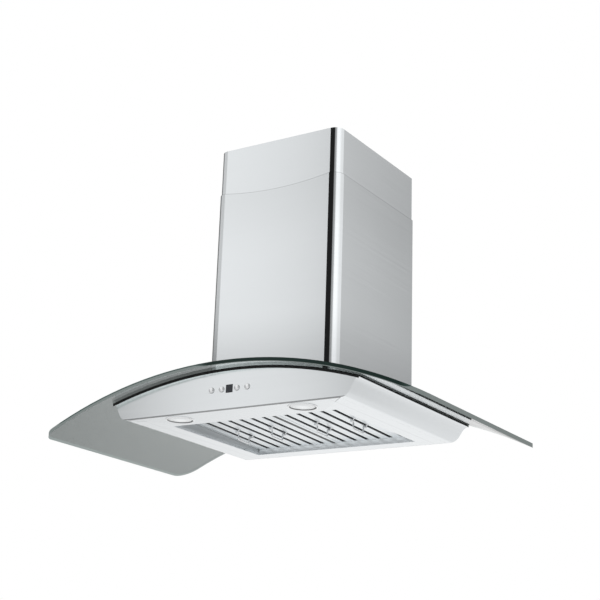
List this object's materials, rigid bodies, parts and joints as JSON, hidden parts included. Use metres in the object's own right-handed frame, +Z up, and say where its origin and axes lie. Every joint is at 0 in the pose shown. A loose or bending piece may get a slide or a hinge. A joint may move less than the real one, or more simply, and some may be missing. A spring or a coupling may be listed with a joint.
{
  "type": "curved glass range hood",
  "caption": "Wall-mounted range hood: bent glass canopy over a steel body, telescoping chimney, baffle filters, round lights, push buttons and a centrifugal blower.",
  "frame": {"origin": "centre of the four wall screw holes, on the wall face of the back plate", "axes": "+Y points into the wall, +Z up, +X to the right seen from the front"},
  "size_m": [0.9, 0.5, 0.657],
  "materials": {
    "glass": "bent clear glass with a grey-green cast",
    "stainless": "brushed stainless steel",
    "galvanised": "galvanised steel, spangled",
    "rubber": "black rubber",
    "zinc_screw": "zinc-plated screws",
    "steel_wire": "polished steel wire",
    "motor_enamel": "dark enamel",
    "black_plastic": "matt black plastic",
    "white_plastic": "matt white plastic",
    "circuit_board": "green circuit board",
    "key_metal": "satin chrome keys",
    "dark_window": "dark tinted window",
    "lamp_lens": "frosted lens"
  },
  "bodies": {
    "hood": {"back_plate": "galvanised", "body_shell": "stainless", "underside_panel": "stainless", "glass_canopy": "glass", "rubber_strip": "rubber", "blower_chamber": "galvanised", "chamber_screws": "zinc_screw", "scroll_housing": "galvanised", "inlet_rings": "galvanised", "motor": "motor_enamel", "motor_bracket": "galvanised", "duct_collar": "galvanised", "damper_pin": "steel_wire", "wiring_box": "black_plastic", "wiring_lid": "black_plastic", "terminal_block": "white_plastic", "cable_gland": "black_plastic", "capacitor": "white_plastic", "capacitor_clip": "galvanised", "lower_chimney": "stainless", "glass_screws": "zinc_screw", "glass_top_washers": "rubber", "glass_spacers": "rubber", "glass_nuts": "zinc_screw", "left_lamp_housing": "key_metal", "left_lamp_lens": "lamp_lens", "left_lamp_board": "white_plastic", "right_lamp_housing": "key_metal", "right_lamp_lens": "lamp_lens", "right_lamp_board": "white_plastic", "control_box": "black_plastic", "control_board": "circuit_board", "key_switches": "black_plastic", "display_window": "dark_window", "display_module": "black_plastic"},
    "upper_chimney": {"upper_chimney": "stainless", "chimney_bracket": "galvanised", "bracket_screws": "zinc_screw"},
    "fan_wheel": {"impeller": "galvanised", "motor_shaft": "steel_wire", "shaft_nut": "zinc_screw"},
    "damper_left": {"damper_flap_left": "galvanised"},
    "damper_right": {"damper_flap_right": "galvanised"},
    "left_filter": {"left_filter_frame": "stainless", "left_filter_baffles": "stainless", "left_filter_bail_saddles": "stainless"},
    "left_filter_left_bail": {"left_filter_left_bail": "steel_wire"},
    "left_filter_right_bail": {"left_filter_right_bail": "steel_wire"},
    "right_filter": {"right_filter_frame": "stainless", "right_filter_baffles": "stainless", "right_filter_bail_saddles": "stainless"},
    "right_filter_left_bail": {"right_filter_left_bail": "steel_wire"},
    "right_filter_right_bail": {"right_filter_right_bail": "steel_wire"},
    "power_button": {"power_button": "key_metal"},
    "minus_button": {"minus_button": "key_metal"},
    "plus_button": {"plus_button": "key_metal"},
    "light_button": {"light_button": "key_metal"}
  },
  "joints": [
    {"name": "chimney_slide", "type": "slide", "parent": "hood", "child": "upper_chimney", "axis": [0, 0, 1], "range_m": [-0.1, 0.24]},
    {"name": "fan_spin", "type": "hinge", "parent": "hood", "child": "fan_wheel", "pos_m": [0, -0.184, -0.01], "axis": [1, 0, 0], "continuous": true},
    {"name": "left_damper_swing", "type": "hinge", "parent": "hood", "child": "damper_left", "pos_m": [0, -0.12, 0.12365], "axis": [0, 1, 0], "range_deg": [0, 82]},
    {"name": "right_damper_swing", "type": "hinge", "parent": "hood", "child": "damper_right", "pos_m": [0, -0.12, 0.12365], "axis": [0, -1, 0], "range_deg": [0, 82]},
    {"name": "left_filter_slide", "type": "slide", "parent": "hood", "child": "left_filter", "axis": [0, 0.9995, -0.0332], "range_m": [0, 0.008]},
    {"name": "left_filter_left_bail_swing", "type": "hinge", "parent": "left_filter", "child": "left_filter_left_bail", "pos_m": [-0.1418, -0.20502, -0.17613], "axis": [0, 0.9995, -0.0332], "range_deg": [-85, 85]},
    {"name": "left_filter_right_bail_swing", "type": "hinge", "parent": "left_filter", "child": "left_filter_right_bail", "pos_m": [-0.056, -0.20502, -0.17613], "axis": [0, 0.9995, -0.0332], "range_deg": [-85, 85]},
    {"name": "right_filter_slide", "type": "slide", "parent": "hood", "child": "right_filter", "axis": [0, 0.9995, -0.0332], "range_m": [0, 0.008]},
    {"name": "right_filter_left_bail_swing", "type": "hinge", "parent": "right_filter", "child": "right_filter_left_bail", "pos_m": [0.056, -0.20502, -0.17613], "axis": [0, 0.9995, -0.0332], "range_deg": [-85, 85]},
    {"name": "right_filter_right_bail_swing", "type": "hinge", "parent": "right_filter", "child": "right_filter_right_bail", "pos_m": [0.1418, -0.20502, -0.17613], "axis": [0, 0.9995, -0.0332], "range_deg": [-85, 85]},
    {"name": "power_button_press", "type": "slide", "parent": "hood", "child": "power_button", "axis": [0, 1, 0], "range_m": [0, 0.0012], "stiffness_N_per_m": 800},
    {"name": "minus_button_press", "type": "slide", "parent": "hood", "child": "minus_button", "axis": [0, 1, 0], "range_m": [0, 0.0012], "stiffness_N_per_m": 800},
    {"name": "plus_button_press", "type": "slide", "parent": "hood", "child": "plus_button", "axis": [0, 1, 0], "range_m": [0, 0.0012], "stiffness_N_per_m": 800},
    {"name": "light_button_press", "type": "slide", "parent": "hood", "child": "light_button", "axis": [0, 1, 0], "range_m": [0, 0.0012], "stiffness_N_per_m": 800}
  ]
}
